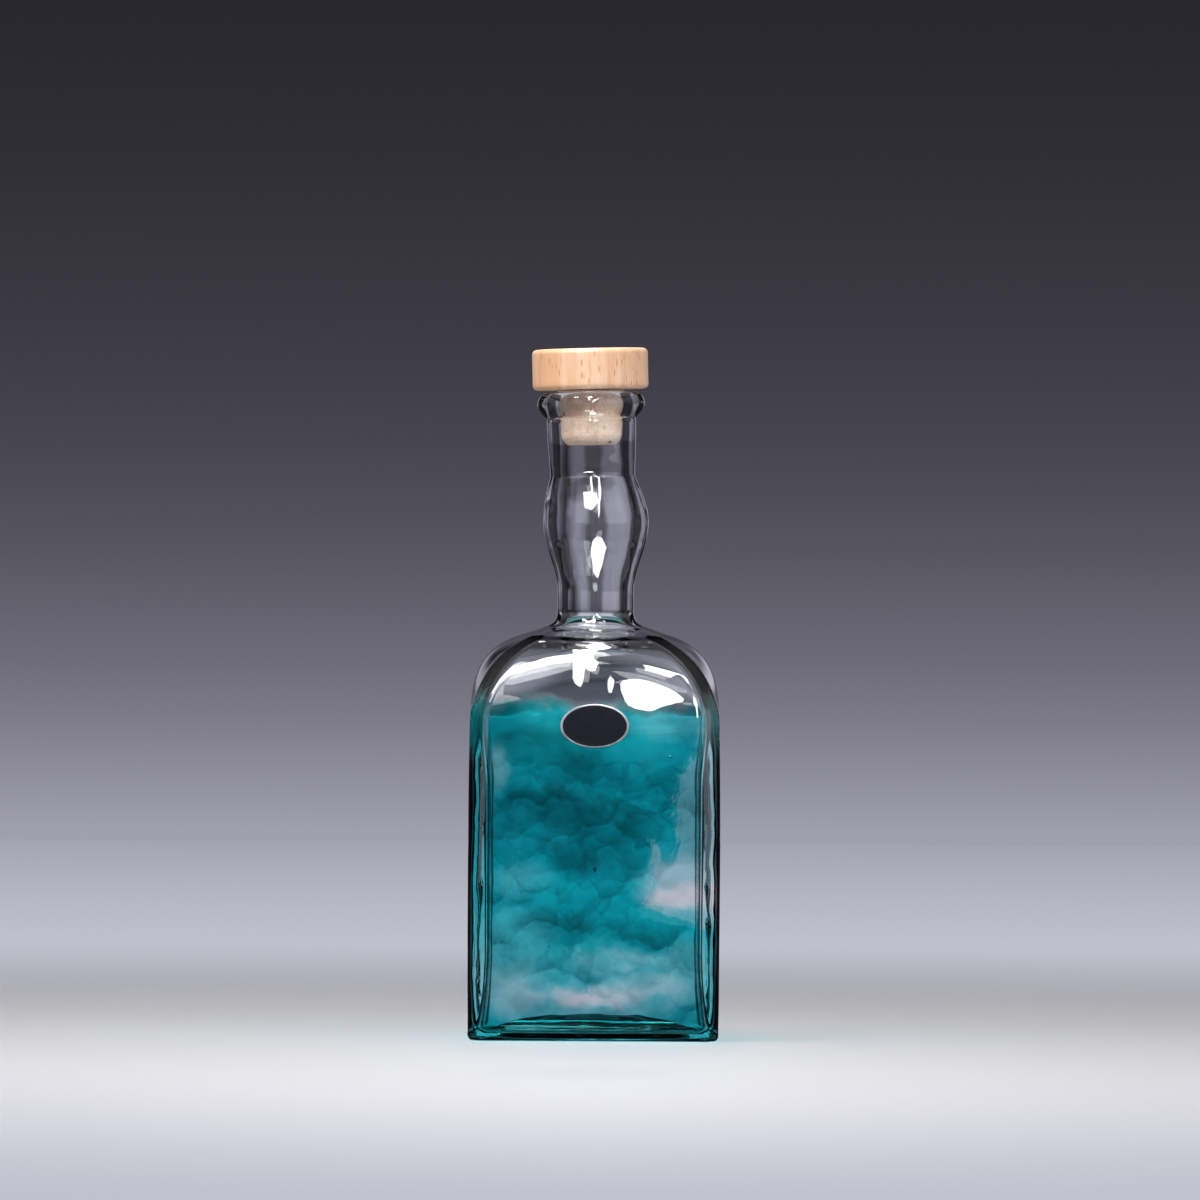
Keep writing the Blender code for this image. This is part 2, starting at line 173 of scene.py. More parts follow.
def reach(direction, half_width, corner):
    """How far out a rounded square stands in a direction of its first quarter."""
    straight = half_width - corner
    x, y = max(direction), min(direction)
    if y * half_width <= x * straight:
        return half_width / x
    along = (x + y) * straight
    return along + math.sqrt(max(along * along - 2 * straight * straight + corner * corner, 0))


def section(half_width, corner, square):
    """A ring between a rounded square and a circle, whose flats bow out as it turns rounder."""
    corner = min(corner, half_width)
    points = []
    for place in QUARTER:
        angle = math.pi / 2 * place
        round_point = half_width * Vector((math.cos(angle), math.sin(angle)))
        there = round_point.lerp(square_point(place, half_width, corner), square)
        direction = there.normalized()
        out = mix(half_width, reach(direction, half_width, corner), square)
        points.append(direction * out)
    ring = []
    for c, s in ((1, 0), (0, 1), (-1, 0), (0, -1)):
        ring += [(c * p.x - s * p.y, s * p.x + c * p.y) for p in points]
    return ring


def corner_at(height):
    return mix(FOOT_CORNER, SHOULDER_CORNER, min(height / WALL_HEIGHT, 1))


def face_at(height):
    if height < WIDEST_HEIGHT:
        return HALF_WIDTH - FOOT_DRAW_IN * (1 - height / WIDEST_HEIGHT) ** 2
    above = (height - WIDEST_HEIGHT) / (WALL_HEIGHT - WIDEST_HEIGHT)
    return HALF_WIDTH - SHOULDER_DRAW_IN * above**2


def wall_at(height):
    if height < THICK_FROM:
        return mix(WALL_FOOT, WALL_MIDDLE, math.sin(math.pi / 2 * height / THICK_FROM))
    above = max(height - THICK_TO, 0) / (WALL_HEIGHT - THICK_TO)
    return mix(WALL_MIDDLE, WALL_SHOULDER, ease(above))


def dome(edge_half_width, edge_height, rise, power, corner, steps):
    rings = []
    for share in sweep(steps)[:-1]:
        out = 1 - share
        height = edge_height + rise * (1 - out**power)
        rings.append((height, edge_half_width * out, corner * out, 1 - share**2))
    return rings


def shoulder_turn(share):
    """The turn's (height, half width) and outward direction, at a share of the way from wall to cone."""
    slope = Vector((math.sin(SHOULDER_SLOPE), -math.cos(SHOULDER_SLOPE)))
    first = Vector((WALL_HEIGHT, HALF_WIDTH - SHOULDER_DRAW_IN))
    last = Vector((CONE_FOOT, CONE_FOOT_RADIUS))
    handles = (first, first + Vector((TURN_START_PULL, 0)), last - TURN_END_PULL * slope, last)
    joined = [near.lerp(far, share) for near, far in zip(handles, handles[1:])]
    inner, outer = (near.lerp(far, share) for near, far in zip(joined, joined[1:]))
    along = outer - inner
    return inner.lerp(outer, share), Vector((-along.y, along.x)).normalized()


def shoulder_rings(depth, end_radius, corner, turn_steps, cone_steps):
    points = []
    for share in sweep(turn_steps):
        point, outward = shoulder_turn(share)
        points.append(point - depth * outward)
    foot = points[-1]
    for share in sweep(cone_steps, first=1):
        radius = mix(foot.y, end_radius, share)
        points.append(Vector((foot.x + (foot.y - radius) * math.tan(SHOULDER_SLOPE), radius)))
    rings = []
    for height, half_width in points:
        risen = max(0.0, (height - WALL_HEIGHT) / (points[-1].x - WALL_HEIGHT))
        rings.append((height, half_width, corner, 1 - risen**ROUNDING))
    return rings


def round_rings(points):
    return [(height, radius, radius, 0) for height, radius in points]


def arc(centre, radii, start, end, steps):
    height, radius = centre
    angles = [math.radians(mix(start, end, share)) for share in sweep(steps)]
    return [(height + radii[0] * math.sin(a), radius + radii[1] * math.cos(a)) for a in angles]


def root_arc(height, radius, fillet, steps):
    centre = (height, radius + fillet)
    return arc(centre, (fillet, fillet), 180, 270 - math.degrees(SHOULDER_SLOPE), steps)


def neck_wave(waist, bulge, crease):
    rise = [(mix(BULGE_START, BULGE_MIDDLE, s), mix(waist, bulge, ease(s))) for s in sweep(26)]
    fall = []
    for share in sweep(22, first=1):
        radius = mix(crease, bulge, math.cos(math.pi / 2 * share))
        fall.append((mix(BULGE_MIDDLE, CREASE, share), radius))
    return rise + fall


def cork_radius_at(height):
    return mix(CORK_END_RADIUS, CORK_RADIUS, (height - CORK_END) / CORK_LENGTH)


def bore_at(height):
    return cork_radius_at(height) + CORK_GAP


CREST_RADIUS = (LIP_RADIUS + bore_at(LIP_CREST)) / 2
MOUTH = LIP_CREST - (CREST_RADIUS - bore_at(LIP_CREST))


def underside_rings():
    half_width = face_at(0) - HEEL_RADIUS - RIM_WIDTH
    return dome(half_width, 0, PUSH_UP, PUSH_UP_POWER, corner_at(0), 26)


def outer_rings():
    rim = face_at(0) - HEEL_RADIUS
    rings = [(0, rim, corner_at(0) - HEEL_RADIUS / 2, 1)]
    for share in sweep(6, first=1):
        angle = math.pi / 2 * share
        height = HEEL_RADIUS * (1 - math.cos(angle))
        half_width = mix(rim, face_at(HEEL_RADIUS), math.sin(angle))
        rings.append((height, half_width, corner_at(height), 1))
    for share in sweep(44, first=1):
        height = mix(HEEL_RADIUS, WALL_HEIGHT, share)
        rings.append((height, face_at(height), corner_at(height), 1))
    rings += shoulder_rings(0, ROOT_RADIUS, SHOULDER_CORNER, 26, 10)[1:]
    neck = root_arc(WAIST_START, WAIST_RADIUS, ROOT_FILLET, 8)[-2::-1]
    neck += [(mix(WAIST_START, BULGE_START, s), WAIST_RADIUS) for s in sweep(6, first=1)][:-1]
    neck += neck_wave(WAIST_RADIUS, BULGE_RADIUS, CREASE_RADIUS)
    for share in sweep(18, first=1):
        radius = mix(CREASE_RADIUS, COLLAR_RADIUS, math.sin(math.pi / 2 * share))
        neck.append((mix(CREASE, COLLAR_TOP, share), radius))
    neck.append((COLLAR_TOP + LIP_CREASE, COLLAR_RADIUS - LIP_CREASE))
    return rings + round_rings(neck)


def lip_rings():
    widest = COLLAR_TOP + LIP_FLARE
    flare = []
    for share in sweep(7, first=1)[:-1]:
        radius = mix(COLLAR_RADIUS - LIP_CREASE, LIP_RADIUS, math.sin(math.pi / 2 * share))
        flare.append((mix(COLLAR_TOP + LIP_CREASE, widest, share), radius))
    outside = arc((widest, CREST_RADIUS), (LIP_CREST - widest, LIP_RADIUS - CREST_RADIUS), 0, 90, 12)
    roll = (LIP_CREST - MOUTH, CREST_RADIUS - bore_at(MOUTH))
    inside = arc((MOUTH, CREST_RADIUS), roll, 90, 180, 8)
    return round_rings(flare + outside + inside[1:])


def inner_rings():
    waist_bore = WAIST_RADIUS - WAIST_WALL
    wave = neck_wave(waist_bore, BULGE_RADIUS - BULGE_WALL, CREASE_RADIUS - CREASE_WALL)
    end_radius = waist_bore + BORE_ROUNDING * (1 - math.sin(SHOULDER_SLOPE))
    ceiling = shoulder_rings(WALL_SHOULDER, end_radius, CAVITY_CORNER, 22, 8)
    opening = ceiling[-1][0] + BORE_ROUNDING * math.cos(SHOULDER_SLOPE)
    seat = [mix(MOUTH, CORK_END, s) for s in sweep(12, first=1)]
    bore = [(height, bore_at(height)) for height in seat]
    for share in sweep(8, first=1)[:-1]:
        bore.append((mix(CORK_END, CREASE, share), mix(bore_at(CORK_END), wave[-1][1], share)))
    bore += wave[::-1]
    bore += [(mix(BULGE_START, opening, s), waist_bore) for s in sweep(6, first=1)][:-1]
    bore += root_arc(opening, waist_bore, BORE_ROUNDING, 14)
    rings = round_rings(bore) + ceiling[-2::-1]
    floor_edge = FLOOR_EDGE_THICKNESS + FLOOR_FILLET
    for share in sweep(84, first=1):
        height = mix(WALL_HEIGHT, floor_edge, share)
        rings.append((height, face_at(height) - wall_at(height), CAVITY_CORNER, 1))
    centre = (floor_edge, face_at(floor_edge) - wall_at(floor_edge) - FLOOR_FILLET)
    for height, half_width in arc(centre, (FLOOR_FILLET, FLOOR_FILLET), 360, 270, 8)[1:-1]:
        rings.append((height, half_width, CAVITY_CORNER, 1))
    return rings


def floor_rings():
    edge = FLOOR_EDGE_THICKNESS + FLOOR_FILLET
    half_width = face_at(edge) - wall_at(edge) - FLOOR_FILLET
    rise = PUSH_UP + FLOOR_THICKNESS - FLOOR_EDGE_THICKNESS
    corner = CAVITY_CORNER - FLOOR_FILLET / 2
    return dome(half_width, FLOOR_EDGE_THICKNESS, rise, FLOOR_POWER, corner, 30)


# Marks of the mould's rough wood inside: each lump's size and depth, and a scale that sets it apart
HAMMER_MARKS = ((0.0125, 0.00060, 1.00), (0.0055, 0.00025, 1.01), (0.0026, 0.00006, 0.99))
SWELL_SIZE = 0.022
SWELL_DEPTH = 0.00020
DRIFT_SIZE = 0.018
DRIFT_REACH = 0.004
HAMMERED_ON_SIDES = 0.35
HAMMERED_TOP = 0.19
# Unseeded, noise_vector differs from run to run
NOISE_SEED = 3

# Waves and ripples of the hand-blown skin
WAVE_DEPTH = 0.00012
RIPPLE_SIZE = 0.0045
RIPPLE_DEPTH = 0.00005
BORE_RIPPLE_SIZE = 0.006
BORE_RIPPLE_DEPTH = 0.00008
BORE_RIPPLE_TOP = 0.222

# Seeds in the front wall: x, z, radius and stretch
SEEDS = (
    (0.0004, 0.0650, 0.00060, 1.9),
    (-0.0045, 0.1080, 0.00085, 0.5),
    (0.0288, 0.1080, 0.00070, 0.6),
    (-0.0321, 0.1145, 0.00050, 0.7),
    (-0.0208, 0.1001, 0.00030, 1.2),
    (0.0100, 0.0880, 0.00025, 1.4),
    (-0.0170, 0.0360, 0.00028, 1.2),
)


def lumps(point, cell):
    """0 to 1, highest at the middles of round-topped lumps that meet in creases."""
    distance = noise.voronoi(point / cell)[0][0]
    return max(1 - distance * distance, 0)


def hammered(point):
    """How far the inside stands in, in metres: the mark of the mould's rough wood."""
    off_middle, outward = sorted((abs(point.x), abs(point.y)))
    fade = (1 - smooth(point.z, 0.112, 0.130)) * (1 - 0.90 * smooth(off_middle, 0.026, 0.037))
    fade *= 0.1 + 0.9 * smooth(outward, 0.034, 0.039) * smooth(point.z, 0.006, 0.014)
    if abs(point.x) > abs(point.y):
        fade *= HAMMERED_ON_SIDES
    drift = DRIFT_REACH * Vector(noise.noise_vector(point / DRIFT_SIZE))
    depth = SWELL_DEPTH * noise.noise(point / SWELL_SIZE)
    for size, mark, apart in HAMMER_MARKS:
        depth += mark * (lumps(point * apart + drift, size) - 0.5)
    return fade * depth


def wavy(point):
    """How far the outside stands in, in metres: the slow waves of a hand-blown surface."""
    slow = noise.noise(point / 0.030) + 0.5 * noise.noise(point / 0.014)
    neck = smooth(point.z, 0.160, 0.180) * (1 - smooth(point.z, 0.232, 0.236))
    ripple = neck * (1 + noise.noise(point / RIPPLE_SIZE))
    return WAVE_DEPTH * (1 + min(max(slow, -1), 1)) + RIPPLE_DEPTH * ripple


def place_object(name, data):
    made = bpy.data.objects.new(name, data)
    bpy.context.scene.collection.objects.link(made)
    return made


def poured(shape, mesh):
    """The mesh, filled from the bmesh."""
    shape.to_mesh(mesh)
    shape.free()
    return mesh


def loft_mesh(name, rings, ends):
    """A closed mesh through rings. Also gives each vertex's ring number."""
    verts, ring_of = [], []
    for number, (height, half_width, corner, square) in enumerate(rings):
        place = axis_frame(height)
        for x, y in section(half_width, corner, square):
            verts.append(place @ Vector((x, y, 0)))
            ring_of.append(number)
    faces = []
    for low in range(0, (len(rings) - 1) * RING, RING):
        for i in range(RING):
            j = (i + 1) % RING
            faces.append((low + i, low + j, low + RING + j, low + RING + i))
    for number, height, flip in ((0, ends[0], True), (len(rings) - 1, ends[1], False)):
        tip = len(verts)
        verts.append(Vector((0, 0, height)))
        ring_of.append(number)
        start = number * RING
        for i in range(RING):
            j = (i + 1) % RING
            faces.append((start + j, start + i, tip) if flip else (start + i, start + j, tip))
    mesh = bpy.data.meshes.new(name)
    mesh.from_pydata(verts, [], faces)
    mesh.update()
    return mesh, ring_of


def add_seed(shape, centre, radius, stretch):
    """A small bubble in the glass: a closed skin that faces inwards."""
    made = bmesh.ops.create_icosphere(shape, subdivisions=2, radius=radius)
    move = Matrix.Translation(centre) @ Matrix.Diagonal((1, 0.8, stretch, 1))
    bmesh.ops.transform(shape, matrix=move, verts=made["verts"])
    faces = {face for vert in made["verts"] for face in vert.link_faces}
    bmesh.ops.reverse_faces(shape, faces=list(faces))
    for face in faces:
        face.smooth = True


def make_glass():
    outside = underside_rings()[::-1] + outer_rings() + lip_rings()
    rings = outside + inner_rings() + floor_rings()
    mesh, ring_of = loft_mesh("glass", rings, (PUSH_UP, PUSH_UP + FLOOR_THICKNESS))
    normals = [vert.normal.copy() for vert in mesh.vertices]
    noise.seed_set(NOISE_SEED)
    for vert, normal, ring in zip(mesh.vertices, normals, ring_of):
        height = vert.co.z
        if ring < len(outside):
            vert.co -= normal * wavy(vert.co) * smooth(height, 0.0005, 0.006)
        elif height < HAMMERED_TOP:
            vert.co += normal * hammered(vert.co)
        elif height < BORE_RIPPLE_TOP:
            vert.co -= normal * BORE_RIPPLE_DEPTH * (1 + noise.noise(vert.co / BORE_RIPPLE_SIZE))
    mesh.shade_smooth()
    shape = bmesh.new()
    shape.from_mesh(mesh)
    chance = random.Random(7)
    for x, z, size, stretch in SEEDS:
        depth = face_at(min(z, WALL_HEIGHT)) - 0.5 * wall_at(min(z, WALL_HEIGHT))
        add_seed(shape, Vector((x, -depth + chance.uniform(-0.001, 0.001), z)), size, stretch)
    return place_object("blown_glass", poured(shape, mesh))


# Materials

class Value:
    """A number in a node tree. Sums with it add their nodes to the tree."""

    def __init__(self, nodes, socket):
        self.nodes = nodes
        self.socket = socket

    def __add__(self, other):
        return self.nodes.maths("ADD", self, other)

    def __sub__(self, other):
        return self.nodes.maths("SUBTRACT", self, other)

    def __rsub__(self, other):
        return self.nodes.maths("SUBTRACT", other, self)

    def __mul__(self, other):
        return self.nodes.maths("MULTIPLY", self, other)

    def __truediv__(self, other):
        return self.nodes.maths("DIVIDE", self, other)

    def __abs__(self):
        return self.nodes.maths("ABSOLUTE", self)


class Nodes:
    """Shorthand for building a material's or the world's node tree."""

    def __init__(self, owner):
        owner.use_nodes = True
        self.owner = owner
        self.tree = owner.node_tree
        self.tree.nodes.clear()

    def add(self, kind, inputs=None, **settings):
        """A new node. Its inputs, by name or number, are plain values or sockets to link."""
        node = self.tree.nodes.new("ShaderNode" + kind)
        for key, setting in settings.items():
            setattr(node, key, setting)
        for key, given in (inputs or {}).items():
            given = given.socket if isinstance(given, Value) else given
            if isinstance(given, bpy.types.NodeSocket):
                self.tree.links.new(given, node.inputs[key])
            else:
                node.inputs[key].default_value = given
        return node

    def value(self, node, output=0):
        return Value(self, node.outputs[output])

    def maths(self, operation, *values, clamp=False):
        return self.value(self.add("Math", dict(enumerate(values)), operation=operation, use_clamp=clamp))

    def vector(self, operation, *values):
        return self.add("VectorMath", dict(enumerate(values)), operation=operation).outputs[0]

    def length(self, vector):
        return self.value(self.add("VectorMath", {0: vector}, operation="LENGTH"), "Value")

    def split(self, vector):
        node = self.add("SeparateXYZ", {0: vector})
        return [self.value(node, axis) for axis in range(3)]

    def combine(self, *values):
        return self.add("CombineXYZ", dict(enumerate(values))).outputs[0]

    def scaled(self, vector, scale):
        return self.add("Mapping", {"Vector": vector, "Scale": scale}).outputs[0]

    def noise(self, vector, scale, detail=4, rough=0.5, distort=0, output="Fac"):
        inputs = {"Vector": vector, "Scale": scale, "Detail": detail, "Roughness": rough}
        return self.value(self.add("TexNoise", {**inputs, "Distortion": distort}), output)

    def cells(self, vector, scale, feature="F1", **inputs):
        return self.add("TexVoronoi", {"Vector": vector, "Scale": scale, **inputs}, feature=feature)

    def step(self, value, low, high, at_low=0, at_high=1):
        """at_low up to low, at_high from high on, and a soft step between them."""
        inputs = {"Value": value, "From Min": low, "From Max": high, "To Min": at_low, "To Max": at_high}
        return self.value(self.add("MapRange", inputs, interpolation_type="SMOOTHSTEP"))

    def blend(self, share, a, b, kind="MIX"):
        return self.add("Mix", {0: share, 6: a, 7: b}, data_type="RGBA", blend_type=kind).outputs[2]

    def bump(self, height, strength, depth):
        return self.add("Bump", {"Height": height, "Strength": strength, "Distance": depth}).outputs[0]

    def object_place(self):
        return self.add("TexCoord").outputs["Object"]

    def ray(self, question):
        """1 or 0, or a count, from what the light path says of the ray."""
        return self.value(self.add("LightPath"), question)

    def principled(self, colour, rough, **others):
        return self.add("BsdfPrincipled", {"Base Color": colour, "Roughness": rough, **others})

    def mix_shaders(self, share, a, b):
        return self.add("MixShader", {0: share, 1: a.outputs[0], 2: b.outputs[0]})

    def finish(self, shader):
        """Makes the material or world show the shader, and gives it back."""
        self.add("Output" + type(self.owner).__name__, {"Surface": shader.outputs[0]})
        return self.owner


def new_material(name):
    return Nodes(bpy.data.materials.new(name))


def rgb(*screen):
    """A colour from its 0 to 255 screen values."""
    shares = [value / 255 for value in screen]
    return (*[v / 12.92 if v <= 0.04045 else ((v + 0.055) / 1.055) ** 2.4 for v in shares], 1)


CLEAR_TINT = (0.97, 0.98, 0.99, 1)
TEAL_TINT = (0.03, 0.71, 0.755, 1)
TEAL_TOP = (0.1210, 0.1310)
WISP_REACH = 0.036
MILKY_TOP = 0.15
CORNER_HAZE = 0.014
FLOOR_TINT = 0.6
SHADOW_TINT = 0.25

# Clouds: the share of their half size that stays whole, and their middle and half size in y
CLOUD_CORE = 0.3
IN_FRONT_WALL = (-0.0475, 0.018)
THROUGH_BOTH_WALLS = (0, 0.5)
# In the front wall: middle and half size across and up, in mm, then how dark
DARK_CLOUDS = (
    (-17, 90, 24, 11, 0.38),
    (4, 84, 26, 12, 0.28),
    (-3, 70, 22, 9, 0.36),
    (16, 78, 12, 12, 0.14),
    (-26, 114, 18, 8, 0.36),
    (-2, 106, 18, 7, 0.14),
    (-12, 43, 20, 11, 0.38),
    (14, 40, 16, 8, 0.22),
    (32, 33, 16, 10, 0.22),
    (-36, 32, 12, 14, 0.28),
    (-32, 56, 14, 9, 0.20),
    (-34, 80, 10, 14, 0.12),
)
# Through both walls: the same, then how far the teal is thinned and the shade lifted
PALE_CLOUDS = (
    (26, 118, 22, 7, 0.25, 0.30),
    (20, 108, 26, 8, 0.04, 0.28),
    (-36, 104, 8, 13, 0.40, 0),
    (-28, 60, 18, 8, 0.22, 0.06),
    (-10, 58, 20, 7, 0, 0.12),
    (38, 54, 26, 7, 1.0, 0.40),
    (33, 60, 22, 15, 0.50, 0.12),
    (34, 30, 16, 14, 0.26, 0),
    (8, 32, 26, 7, 0.42, 0.06),
    (-32, 19, 16, 13, 0.42, 0),
    (-3, 17, 30, 7, 0.92, 0.18),
    (20, 20, 26, 9, 0.50, 0.05),
    (0, 18, 70, 22, 0.20, 0),
    (-31, 34, 22, 26, 0.22, 0),
)

# The left edge of the pale sheet, a painted reflection, is a sum of soft steps: from a height, to a height,
# and x at each
SHEET_EDGE = (
    (0.096, 0.114, 0.0312, 0.0400),
    (0.062, 0.069, -0.0090, 0),
    (0.048, 0.062, -0.0045, 0),
    (0.040, 0.048, 0.030, 0),
)
SHEET_THINS = 0.42
SHEET_LEAN = 0.4
STROKES_ACROSS = 620
STROKES_ALONG = 170
STROKE_REACH = 0.018
# A tongue of the sheet to its left: heights, and at them its middle and half width
TONGUE_HEIGHTS = (0.064, 0.083)
TONGUE_MIDDLE = (0.0250, 0.0205)
TONGUE_HALF_WIDTH = (0.0030, -0.0005)
TONGUE_END = (0.058, 0.066)
# How soft the sheet's edge is on the front wall and on the back one
SHEET_SOFTNESS = (0.0006, 0.0040)


def cloud(nodes, place, size, in_y):
    """1 inside a soft ellipsoid, 0 outside it."""
    x, z, wide, high = (length / 1000 for length in size)
    y, deep = in_y
    away = nodes.vector("DIVIDE", nodes.vector("SUBTRACT", place, (x, y, z)), (wide, deep, high))
    return nodes.step(nodes.length(away), CLOUD_CORE, 1, 1, 0)


def cumulus(nodes, place, scale):
    """Painted light and shade of heaped lumps: low (lighter) at each lump's top, where painted light falls,
    and high (darker) at its foot and in the creases, where painted shade falls.
    """
    cells = nodes.cells(place, scale, feature="SMOOTH_F1", Smoothness=0.12)
    above = nodes.split(cells.outputs["Position"])[2] - nodes.split(place)[2]
    return above * (0.75 * scale) + nodes.step(nodes.value(cells, "Distance"), 0.30, 0.75, -0.10, 0.25)


def brushed_sheet(nodes, place):
    """1 in a pale sheet down the right of the face, a painted reflection, with a ragged, streaky edge on its
    left.
    """
    x, y, z = nodes.split(place)
    across = (x - z * SHEET_LEAN) * STROKES_ACROSS
    along = (z + x * SHEET_LEAN) * STROKES_ALONG
    strokes = nodes.noise(nodes.combine(across, along), 1, rough=0.65)
    ragged = (strokes - 0.5) * STROKE_REACH
    main = x + ragged
    for bend in SHEET_EDGE:
        main = main - nodes.step(z, *bend)
    off_middle = abs(x + ragged * 0.5 - nodes.step(z, *TONGUE_HEIGHTS, *TONGUE_MIDDLE))
    tongue = nodes.step(z, *TONGUE_HEIGHTS, *TONGUE_HALF_WIDTH) - off_middle
    tongue = tongue - nodes.step(z, *TONGUE_END, 0.01, 0)
    inside = nodes.maths("MAXIMUM", main, tongue)
    return nodes.step(inside / nodes.step(y, 0, 0.01, *SHEET_SOFTNESS), -0.5, 0.5)


def on_outer_face(nodes, place):
    """The place moved straight out to the body's outer face, so that both skins of a wall match."""
    x, y, z = nodes.split(place)
    moved = []
    for across, other in ((x, y), (y, x)):
        ahead = nodes.maths("GREATER_THAN", abs(across), abs(other))
        outer = nodes.maths("SIGN", across) * HALF_WIDTH
        moved.append(across + (outer - across) * ahead)
    return nodes.combine(*moved, z)


def warped(nodes, place):
    """The place moved about by broad and by fine noise, so that the clouds' outlines wander."""
    bent = place
    for scale, reach_out in ((45, 0.018), (190, 0.0045)):
        shift = nodes.vector("SUBTRACT", nodes.noise(place, scale, output="Color"), (0.5,) * 3)
        bent = nodes.vector("MULTIPLY_ADD", shift, (reach_out,) * 3, bent)
    return bent


def in_floor(nodes, place):
    """1 on the walls and FLOOR_TINT on the floor's two skins, which a view crosses many times."""
    x, y, z = nodes.split(place)
    outer = nodes.step(nodes.maths("MAXIMUM", abs(x), abs(y)), 0.036, 0.042)
    above = nodes.step(z, 0.012, 0.014)
    return nodes.step(nodes.maths("MAXIMUM", outer, above), 0, 1, FLOOR_TINT, 1)


def clearness(nodes, height, teal):
    """How clear the skin is: milky in the teal's upper edge, with a speckled haze at the corners."""
    place = nodes.object_place()
    x, y, z = nodes.split(place)
    inner = nodes.maths("MINIMUM", abs(x), abs(y))
    corner = nodes.step(inner, 0.018, 0.034) * nodes.step(z, 0.112, 0.128)
    speckle = nodes.step(nodes.noise(place, 1500, detail=2, rough=0.6), 0.55, 0.72, 0.7, 2.6)
    milky = teal * nodes.step(height, 0.103, 0.120, 0, MILKY_TOP) * nodes.step(inner, 0.020, 0.034, 1, 0.1)
    return 1 - corner * speckle * CORNER_HAZE - milky


def glass_material():
    """Clear glass with teal clouds in it: a strong even teal, shaded darker and thinned paler in places, with
    painted light and shade on heaped lumps and a pale sheet that is a painted reflection.
    """
    nodes = new_material("teal_cloud_glass")
    place = on_outer_face(nodes, nodes.object_place())
    bent = warped(nodes, place)
    height = nodes.split(bent)[2]
    wisp = (nodes.noise(place, 36, detail=6, rough=0.62) - 0.5) * WISP_REACH
    teal = nodes.step(height + wisp, *TEAL_TOP, 1, 0)
    # the pale sheet, a painted reflection, thins the teal
    teal = teal * (1 - brushed_sheet(nodes, place) * SHEET_THINS) * in_floor(nodes, nodes.object_place())
    shade = nodes.step(height, 0.030, 0.090, 0.02, 0.12)
    for *size, dark in DARK_CLOUDS:
        shade = shade + cloud(nodes, bent, size, IN_FRONT_WALL) * dark
    for *size, thin, lift in PALE_CLOUDS:
        pale = cloud(nodes, bent, size, THROUGH_BOTH_WALLS)
        teal = teal * (1 - pale * thin)
        shade = shade - pale * lift
    # painted light and shade on heaped lumps: lighter on their tops, darker at their feet and in their
    # creases; the drift is random tone
    lump_painted_shade = cumulus(nodes, bent, 210) * 0.35 + cumulus(nodes, bent, 80)
    drift = nodes.step(nodes.noise(place, 30, rough=0.55), 0.30, 0.70, -0.10, 0.10)
    change = lump_painted_shade * nodes.step(height, 0.098, 0.116, 0.34, 0.10) + drift
    teal = nodes.maths("MULTIPLY", teal, change * 0.25 + 1, clamp=True)
    light = nodes.maths("SUBTRACT", 1, (shade + change) * teal, clamp=True)
    tint = nodes.blend(teal, CLEAR_TINT, TEAL_TINT)
    colour = nodes.add("VectorMath", {0: tint, "Scale": light}, operation="SCALE").outputs[0]
    clear = {"Transmission Weight": clearness(nodes, height, teal)}
    glass = nodes.principled(colour, 0, IOR=1.5, **clear)
    shadow = nodes.add("BsdfTransparent", {"Color": nodes.blend(SHADOW_TINT, (1, 1, 1, 1), colour)})
    return nodes.finish(nodes.mix_shaders(nodes.ray("Is Shadow Ray"), glass, shadow))


def specks(nodes, place, scale, reach_out, rarity):
    """1 in the middles of a few scattered cells."""
    cells = nodes.cells(place, scale)
    chance = nodes.split(cells.outputs["Color"])[0]
    return nodes.step(nodes.value(cells, "Distance"), *reach_out, 1, 0) * nodes.step(chance, *rarity)


def beech_material():
    """Turned beech: long pale grain along the stopper's axis, with short brown flecks."""
    nodes = new_material("turned_beech")
    place = nodes.object_place()
    grain = nodes.noise(nodes.scaled(place, (1, 1, 0.10)), 420, detail=5, rough=0.6, distort=0.4)
    broad = nodes.noise(nodes.scaled(place, (1, 1, 0.16)), 110, detail=3)
    fine = nodes.noise(nodes.scaled(place, (1, 1, 0.05)), 1500, detail=3, rough=0.6)
    fleck = specks(nodes, nodes.scaled(place, (1, 1, 0.20)), 1050, (0.20, 0.42), (0.70, 0.78))
    colour = nodes.blend(nodes.step(broad, 0.36, 0.66), rgb(241, 188, 146), rgb(252, 211, 176))
    colour = nodes.blend(nodes.step(grain, 0.50, 0.66, 0, 0.45), colour, rgb(226, 170, 120))
    colour = nodes.blend(nodes.step(fine, 0.45, 0.75, 0, 0.30), colour, rgb(216, 156, 106))
    colour = nodes.blend(fleck * 0.75, colour, rgb(208, 138, 86))
    rough = nodes.step(grain, 0.3, 0.7, 0.38, 0.52)
    bump = nodes.bump(fine - fleck, 0.25, 0.0002)
    return nodes.finish(nodes.principled(colour, rough, Normal=bump))


def cork_material():
    """Pale fine-grained cork with a few dark specks."""
    nodes = new_material("pale_cork")
    place = nodes.object_place()
    mottle = nodes.step(nodes.noise(place, 260, rough=0.6), 0.35, 0.65)
    edges = nodes.value(nodes.cells(place, 900, feature="DISTANCE_TO_EDGE"), "Distance")
    speck = specks(nodes, place, 430, (0.16, 0.34), (0.90, 0.93))
    colour = nodes.blend(mottle, rgb(250, 209, 180), rgb(255, 231, 207))
    colour = nodes.blend(nodes.step(edges, 0.02, 0.10, 0.25, 0), colour, rgb(180, 140, 108))
    colour = nodes.blend(speck, colour, rgb(96, 66, 48))
    bump = nodes.bump(edges - speck, 0.5, 0.0002)
    return nodes.finish(nodes.principled(colour, 0.8, Normal=bump))


